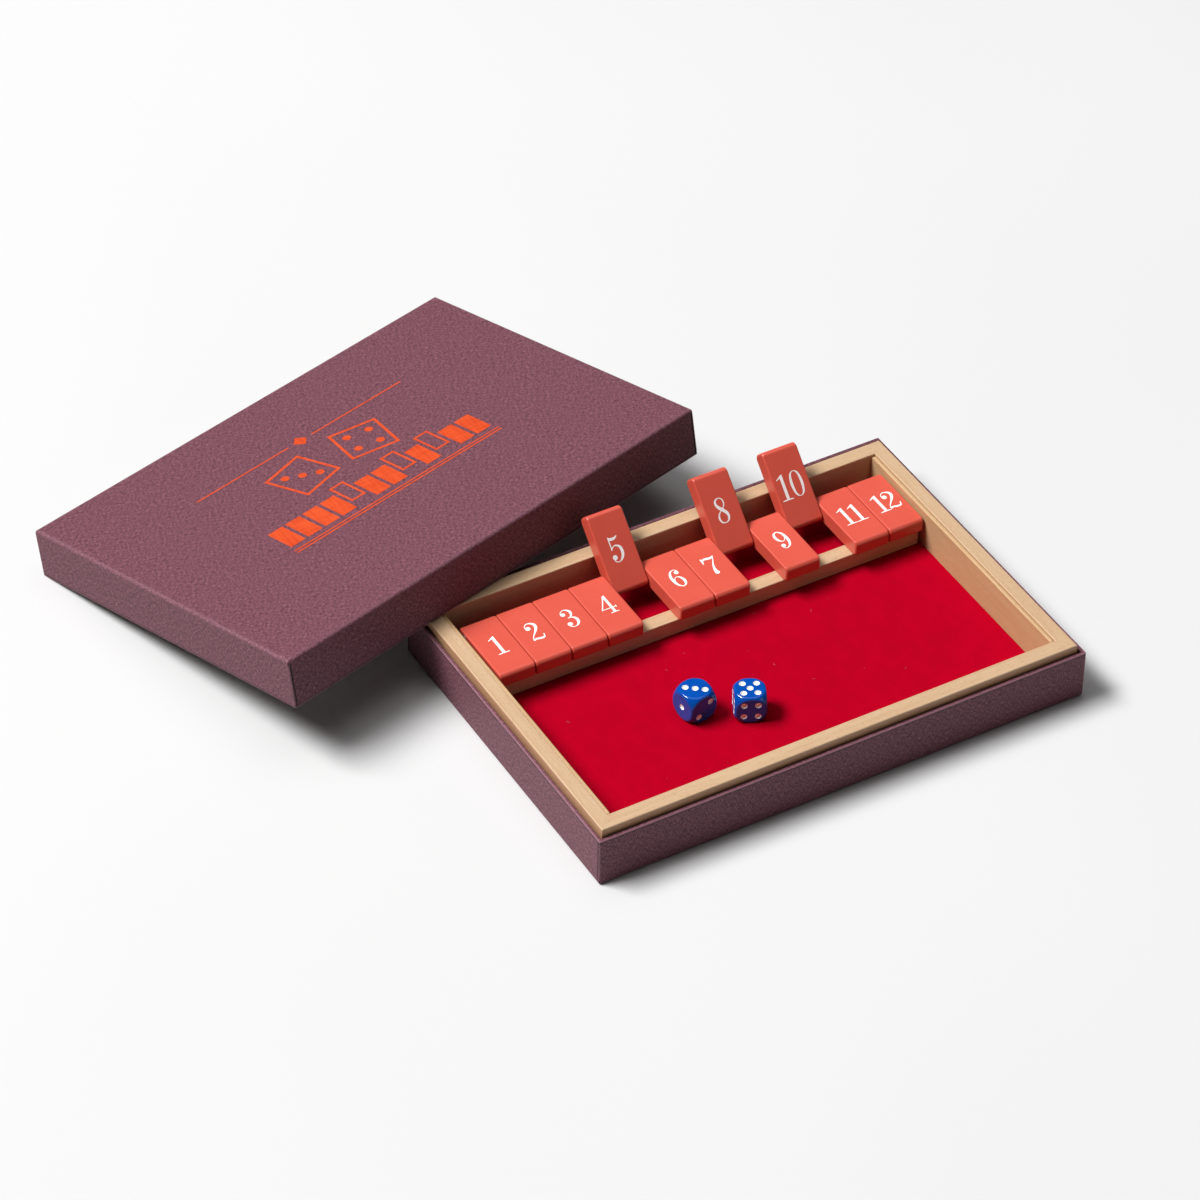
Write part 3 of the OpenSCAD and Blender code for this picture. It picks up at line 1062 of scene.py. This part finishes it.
ONE = [
    slab((2.3, 0.3), (3.85, 0.3), (3.85, 13.0), (2.3, 12.4)),
    slab((0.0, 0.0), (6.0, 0.0), (6.0, 0.38), (4.2, 0.65), (1.9, 0.65), (0.0, 0.38)),
    pen([(0.2, 10.75, 0.5), (1.3, 11.25, 0.8), (2.3, 11.8, 1.1), (3.2, 12.3, 1.2)]),
]
TWO = [
    dot(1.75, 9.45, 1.3),
    pen([(0.65, 9.6, 0.5), (0.9, 11.3, 0.55), (2.2, 12.55, 0.7), (3.8, 12.55, 1.0),
         (5.5, 11.3, 1.9), (5.75, 9.4, 2.05), (4.7, 7.2, 1.7), (2.9, 5.0, 1.0),
         (1.3, 3.1, 0.6), (0.6, 1.6, 0.6)]),
    pen([(0.35, 0.9, 1.5), (1.9, 1.35, 1.45), (3.6, 0.95, 1.7), (5.2, 0.8, 1.5), (6.5, 1.2, 0.9)]),
    slab((5.7, 0.5), (6.5, 0.7), (7.1, 3.3), (6.7, 3.3), (6.2, 2.0)),
]
THREE = [
    dot(1.45, 10.0, 1.15),
    dot(1.4, 2.75, 1.25),
    pen([(0.5, 10.2, 0.5), (0.95, 11.7, 0.55), (2.4, 12.7, 0.55), (4.1, 12.5, 1.0),
         (5.4, 10.9, 1.8), (5.2, 8.8, 1.5), (4.0, 7.3, 0.8), (2.5, 6.75, 0.5)]),
    pen([(2.5, 6.9, 0.5), (4.2, 6.85, 0.8), (5.8, 5.4, 1.8), (5.95, 3.2, 2.0),
         (4.9, 1.2, 1.4), (3.1, 0.3, 0.6), (1.3, 0.8, 0.6), (0.4, 2.5, 0.5)]),
]
FOUR = [
    slab((4.7, 0.3), (6.05, 0.3), (6.05, 12.7), (5.75, 13.0), (4.7, 11.8)),
    pen([(5.2, 12.5, 0.9), (3.6, 9.4, 0.75), (1.8, 6.2, 0.75), (0.35, 3.75, 0.75)]),
    slab((0.0, 3.4), (7.8, 3.4), (7.8, 3.85), (0.0, 3.85)),
    slab((7.4, 2.9), (7.8, 2.9), (7.8, 4.6), (7.4, 4.2)),
    slab((3.1, 0.0), (7.5, 0.0), (7.5, 0.35), (6.4, 0.55), (4.2, 0.55), (3.1, 0.35)),
]
FIVE = [
    dot(1.55, 2.75, 1.25),
    slab((1.0, 6.2), (1.55, 6.6), (1.55, 12.9), (1.0, 12.9)),
    pen([(1.1, 12.1, 1.5), (2.7, 11.6, 1.9), (4.4, 11.7, 1.5), (5.9, 12.7, 0.4)]),
    pen([(1.2, 6.5, 0.5), (2.2, 7.8, 0.6), (3.9, 8.2, 0.9), (5.7, 6.9, 1.8),
         (6.1, 4.3, 2.1), (5.2, 1.8, 1.6), (3.3, 0.35, 0.6), (1.5, 0.75, 0.6), (0.55, 2.5, 0.5)]),
]
SIX = [
    dot(5.15, 10.45, 1.15),
    pen([(6.1, 10.6, 0.5), (5.6, 12.1, 0.55), (4.2, 12.7, 0.6), (2.3, 11.5, 1.3),
         (1.1, 8.6, 1.9), (1.0, 5.3, 2.05), (1.6, 2.2, 1.5), (3.3, 0.3, 0.6)]),
    pen([(3.3, 0.3, 0.6), (5.1, 1.2, 1.3), (5.9, 3.7, 1.95), (5.3, 6.3, 1.5),
         (3.8, 7.6, 0.6), (2.3, 6.8, 0.5), (1.6, 5.2, 0.5)]),
]
SEVEN = [
    slab((0.15, 9.1), (0.65, 9.1), (1.2, 11.0), (0.9, 13.0), (0.3, 13.0)),
    pen([(0.7, 11.4, 1.1), (2.2, 12.1, 1.7), (4.0, 11.9, 2.0), (5.6, 11.7, 1.8), (7.2, 12.7, 0.7)]),
    pen([(7.2, 12.6, 0.6), (5.9, 9.9, 0.6), (4.4, 7.1, 1.0), (3.5, 4.4, 1.8), (3.2, 2.0, 2.5),
         (3.3, 1.1, 2.3)]),
    dot(3.3, 1.15, 1.15),
]
EIGHT = [
    pen([(3.6, 12.7, 0.5), (1.9, 12.0, 1.2), (1.3, 10.2, 1.6), (2.2, 8.3, 2.1),
         (4.2, 6.3, 2.3), (5.7, 4.3, 2.0), (5.8, 2.3, 1.5), (4.9, 0.9, 0.9), (3.5, 0.3, 0.5)]),
    pen([(3.5, 0.3, 0.5), (1.6, 1.0, 1.0), (0.85, 3.1, 1.3), (1.6, 5.2, 0.9), (3.2, 6.6, 0.5),
         (4.8, 7.9, 0.6), (5.6, 9.9, 0.9), (5.1, 11.8, 0.7), (3.6, 12.7, 0.5)]),
]
ZERO = [
    pen([(3.7, 12.75, 0.45), (1.7, 11.2, 1.3), (1.0, 6.5, 1.95), (1.7, 1.8, 1.3),
         (3.7, 0.25, 0.45), (5.7, 1.8, 1.3), (6.4, 6.5, 1.95), (5.7, 11.2, 1.3)], True),
]


def turned_half(strokes, width):
    """A figure turned upside down in its own box."""
    return [[[(width - x, FIGURE_H - y) for x, y in quad] for quad in stroke] for stroke in strokes]


NINE = turned_half(SIX, 6.9)
SINGLE = (
    (ONE, 6.0), (TWO, 7.1), (THREE, 7.1), (FOUR, 7.9), (FIVE, 7.2), (SIX, 6.9), (SEVEN, 7.5),
    (EIGHT, 6.9), (NINE, 6.9),
)
# Each number's figures with their places from the left, and its width
FIGURES = {number: ([(figure, 0.0)], width) for number, (figure, width) in enumerate(SINGLE, 1)}
for number, second, place, width in (
    (10, ZERO, 6.4, 13.8), (11, ONE, 6.0, 12.0), (12, TWO, 5.7, 12.8)
):
    FIGURES[number] = ([(ONE, 0.0), (second, place)], width)


def ink_strokes(form, strokes, shift, place, thickness=INK_T):
    """Adds strokes as thin closed layers of ink; each lies a hair above the last."""
    for number, stroke in enumerate(strokes):
        top = thickness + INK_STEP * number
        seen = {}

        def vert(x, y, z):
            key = (round(x, 4), round(y, 4), z)
            if key not in seen:
                seen[key] = form.verts.new(place @ Vector((x + shift[0], y + shift[1], z)))
            return seen[key]

        for quad in stroke:
            for z in (0.0, top):
                corners = list(dict.fromkeys(vert(x, y, z) for x, y in quad))
                if len(corners) > 2:
                    form.faces.new(corners)
        close_rims(form, seen, top)


def close_rims(form, seen, top):
    """Walls between the two faces of a layer of ink."""
    rims = [e for v in seen.values() for e in v.link_edges if e.is_boundary]
    lookup = {v: key for key, v in seen.items()}
    for edge in dict.fromkeys(rims):
        a, b = edge.verts
        if lookup[a][2] == 0.0 and lookup[b][2] == 0.0:
            above = [seen[(*lookup[v][:2], top)] for v in (b, a)]
            form.faces.new((a, b, *above))


# Tiles

def tile_place(number):
    """Where a tile's own frame stands: on the rod, at its left side."""
    turn = -OPEN_ANGLE if number in OPEN_TILES else 0.0
    x = ROW_X0 + (number - 1) * TILE_PITCH + TILE_GAP / 2
    return Matrix.Translation((x, ROD_Y, ROD_Z)) @ turned(turn, "X")


def tile_form():
    """A tile across the X axis: ends, corners and edges sanded round, drilled for the rod."""
    front, back, up, r = ROD_INSET - TILE_LEN, ROD_INSET, TILE_T / 2, TILE_END_R
    outline = arc((back - r, up - r), r, 0, 90, 8) + arc((front + r, up - r), r, 90, 180, 8)
    outline += arc((front + r, r - up), r, 180, 270, 8) + arc((back - r, r - up), r, 270, 360, 8)
    form = plate(outline, circle((0, 0), BORE_R), TILE_W, TILE_EDGE)
    form.transform(Matrix.Translation((TILE_W / 2, 0, 0)) @ ACROSS_X)
    for turn in (25, 45, 65, 90):
        depth = TILE_CORNER_R * (1 - math.cos(math.radians(turn)))
        for x in (depth, TILE_W - depth):
            bmesh.ops.bisect_plane(
                form, geom=form.verts[:] + form.edges[:] + form.faces[:],
                plane_co=(x, 0, 0), plane_no=(1, 0, 0),
            )
    for vert in form.verts:
        depth = min(vert.co.x, TILE_W - vert.co.x)
        if depth < TILE_CORNER_R:
            cut = TILE_CORNER_R * (1 - math.sqrt(1 - (1 - depth / TILE_CORNER_R) ** 2))
            if vert.co.y < front + r + 0.01:
                vert.co.y += cut
            elif vert.co.y > back - r - 0.01:
                vert.co.y -= cut
    return form


def make_tile(number, coral, ink):
    """A tile with its numeral on both faces, each a little off the middle as printed."""
    body = f"tile_{number:02d}"
    place = tile_place(number)
    add_piece(
        body + "_block", to_mesh(tile_form(), place), coral, body, (body,), 50.0
    )
    glyphs, width = FIGURES[number]
    form = bmesh.new()
    middle_x, middle_y = TILE_W / 2, ROD_INSET - TILE_LEN / 2
    for (off_x, off_y), height, turn in zip(PRINT_OFF, (TILE_T / 2, -TILE_T / 2), (0.0, 180.0)):
        face = Matrix.Translation((middle_x + off_x, middle_y + off_y, height))
        face = face @ turned(turn, "X") @ Matrix.Scale(NUMERAL_SIZE, 4)
        for strokes, x in glyphs:
            ink_strokes(form, strokes, (x - width / 2, -FIGURE_H / 2), face)
    add_piece(
        body + "_numeral", to_mesh(form, place, False), ink, body, (), 60.0
    )


# Ornament on the lid

def frame_strokes(x, y, half_w, half_h, line, turn=0.0):
    """A thin square-cornered frame."""
    inner_w, inner_h = half_w - line, half_h - line
    spin = Matrix.Rotation(math.radians(turn), 2)

    def spot(px, py):
        p = spin @ Vector((px, py))
        return (x + p.x, y + p.y)

    signs = ((-1, -1), (1, -1), (1, 1), (-1, 1))
    ring = [(spot(i * half_w, j * half_h), spot(i * inner_w, j * inner_h)) for i, j in signs]
    return [[a[0], b[0], b[1], a[1]] for a, b in zip(ring, ring[1:] + ring[:1])]


def lid_ornament():
    """Two drawn dice over a row of twelve tiles, three of them raised, between rules."""
    strokes = []
    dice_y, die_half, pip_step = 18.0, 14.0, 6.4
    for x, turn, places in (
        (-21.0, 12.0, ((-1, 1), (0, 0), (1, -1))),
        (21.0, -14.0, ((-1, 1), (1, -1), (-1, -1), (1, 1))),
    ):
        spin = Matrix.Rotation(math.radians(turn), 2)
        strokes.append(frame_strokes(x, dice_y, die_half, die_half, 1.6, turn))
        for place in places:
            spot = spin @ (Vector(place) * pip_step)
            strokes.append(dot(x + spot.x, dice_y + spot.y, 2.3))
    pitch, half_w, half_h, row_y, raised = 11.6, 4.8, 9.0, -18.0, 6.0
    for number in range(1, TILE_COUNT + 1):
        x = pitch * (number - (TILE_COUNT + 1) / 2)
        if number in OPEN_TILES:
            strokes.append(frame_strokes(x, row_y + raised, half_w, half_h, 1.3))
        else:
            x0, x1, low, high = x - half_w, x + half_w, row_y - half_h, row_y + half_h
            strokes.append(slab((x0, low), (x1, low), (x1, high), (x0, high)))
    rule_half, rule_w = 70.0, 0.9
    for y, gap in ((-31.5, 0.0), (-33.6, 0.0), (43.0, 8.0)):
        for sign in (-1, 1):
            x0, x1, top = sign * gap, sign * rule_half, y + rule_w
            strokes.append(slab((x0, y), (x1, y), (x1, top), (x0, top)))
    strokes.append(slab((-4.4, 43.4), (0.0, 39.0), (4.4, 43.4), (0.0, 47.8)))
    return strokes


# Stage

def lay_table(material):
    """The pale table, one wide flat sheet just below the game."""
    form = bmesh.new()
    half, below = 3000.0, 0.02
    bmesh.ops.create_grid(form, x_segments=8, y_segments=8, size=half)
    for vert in form.verts:
        vert.co.z = -below
    table = new_object("table", to_mesh(form))
    table.data.materials.append(material)


def soft_box(name, place, target, size, power):
    """A soft white studio light at place, turned to target, in metres and watts."""
    light = bpy.data.lights.new(name, "AREA")
    light.shape, light.size, light.size_y = "RECTANGLE", size[0], size[1]
    light.energy = power
    lamp = new_object(name, light)
    way = (Vector(target) - Vector(place)).to_track_quat("-Z", "Y")
    lamp.matrix_world = Matrix.Translation(place) @ way.to_matrix().to_4x4()


def light_studio():
    """A soft key from behind on the left, a wide weak light overhead and a faint fill.

    The fill stands low at the player's right, in a dim room.
    """
    middle = (-0.05, 0.05, 0.0)
    soft_box("key", (-4.85, 2.85, 7.9), middle, (5.0, 2.8), 1540.0)
    soft_box("overhead", (0.3, 0.9, 3.9), middle, (3.4, 3.4), 42.0)
    soft_box("fill", (1.9, -2.6, 0.9), middle, (1.5, 1.5), 5.0)
    world = bpy.data.worlds.new("studio")
    world.use_nodes = True
    room = world.node_tree.nodes["Background"].inputs
    room["Color"].default_value = linear("#fffffd")
    room["Strength"].default_value = 0.042
    bpy.context.scene.world = world
    bpy.context.scene.view_settings.view_transform = "Standard"


def dress_nodes(finishes):
    """Gives the CAD nodes that stay their real finish."""
    for name, material in finishes.items():
        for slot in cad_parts[name].material_slots:
            slot.material = material


def make_tray():
    """Walls, liners and rail of the tray, its felt and what lies on the felt."""
    # The walls' outer faces take a darker copy of the wood: painted shade for the narrow gap
    # between tray and box
    lacquered, outer_shade_tint, warm = "#ffffff", "#ead6cc", "#fffaec"
    grain_x = sanded_lime_wood("sanded_lime_wood_lengthways", 0, lacquered)
    grain_y = sanded_lime_wood("sanded_lime_wood_crossways", 1, lacquered)
    grain_liner = sanded_lime_wood("sanded_lime_wood_warm", 1, warm)
    outer_x = sanded_lime_wood("lime_wood_lengthways_painted_shade", 0, outer_shade_tint)
    outer_y = sanded_lime_wood("lime_wood_crossways_painted_shade", 1, outer_shade_tint)
    for side, name in enumerate(("front", "right", "back", "left")):
        add_piece(
            "tray_bar_" + name, to_mesh(wall_bar(side)),
            (grain_y, outer_y) if side % 2 else (grain_x, outer_x),
            "box", ("tray_wall_" + name,),
        )
    for name, x in (("left", WELL_LEFT), ("right", WELL_RIGHT - LINER_T)):
        place = Matrix.Translation((x + LINER_T / 2, 0, 0)) @ ACROSS_X
        add_piece(
            "liner_plate_" + name, to_mesh(liner_plate(), place), grain_liner, "box",
            ("side_liner_" + name,),
        )
    add_piece(
        "rest_rail", to_mesh(eased_block(*RAIL, RAIL_EASE)), grain_x, "box",
        ("tile_rest_rail",),
    )
    low = (WELL_LEFT + LINER_T, TRAY_LOW[1] + LONG_WALL_T, PANEL_TOP)
    high = (WELL_RIGHT - LINER_T, TRAY_HIGH[1] - LONG_WALL_T, FELT_TOP)
    add_piece(
        "felt_sheet", to_mesh(felt_sheet(low, high)), pressed_red_felt(), "box",
        ("tray_felt",), 60.0,
    )
    lint = loose_cotton_lint()
    add_piece("felt_lint", lint_on_felt(low, high, lint), lint, "box")


def main():
    aim_camera()
    light_studio()
    lay_table(pale_table_paper())

    paper, board = plum_linen_paper(), recycled_grey_board()
    cover_box("box", "base", BASE, Matrix(), paper, board)
    cover_box("lid", "lid", LID, LID_PLACE, paper, board)
    make_tray()

    steel = drawn_steel()
    add_piece(
        "washer_row", washer_row(steel), steel, "box", ("spacer_washers",), 40.0
    )
    coral, ink = sprayed_coral_enamel(), white_printing_ink()
    for number in range(1, TILE_COUNT + 1):
        make_tile(number, coral, ink)
    blue, white = polished_blue_acrylic(), white_pip_enamel()
    for name in DICE:
        make_die(name, blue, white)

    form = bmesh.new()
    place = LID_TOP @ Matrix.Translation((-2, 4, 0))
    ink_strokes(form, lid_ornament(), (0.0, 0.0), place, FOIL_T)
    add_piece(
        "lid_foil", to_mesh(form, Matrix(), False), orange_stamping_foil(), "lid",
        (), 60.0,
    )
    dress_nodes({
        "hinge_rod": steel, "tray_floor_panel": sawn_fibreboard(),
        "lid_lining": uncoated_lining_paper(),
    })


main()
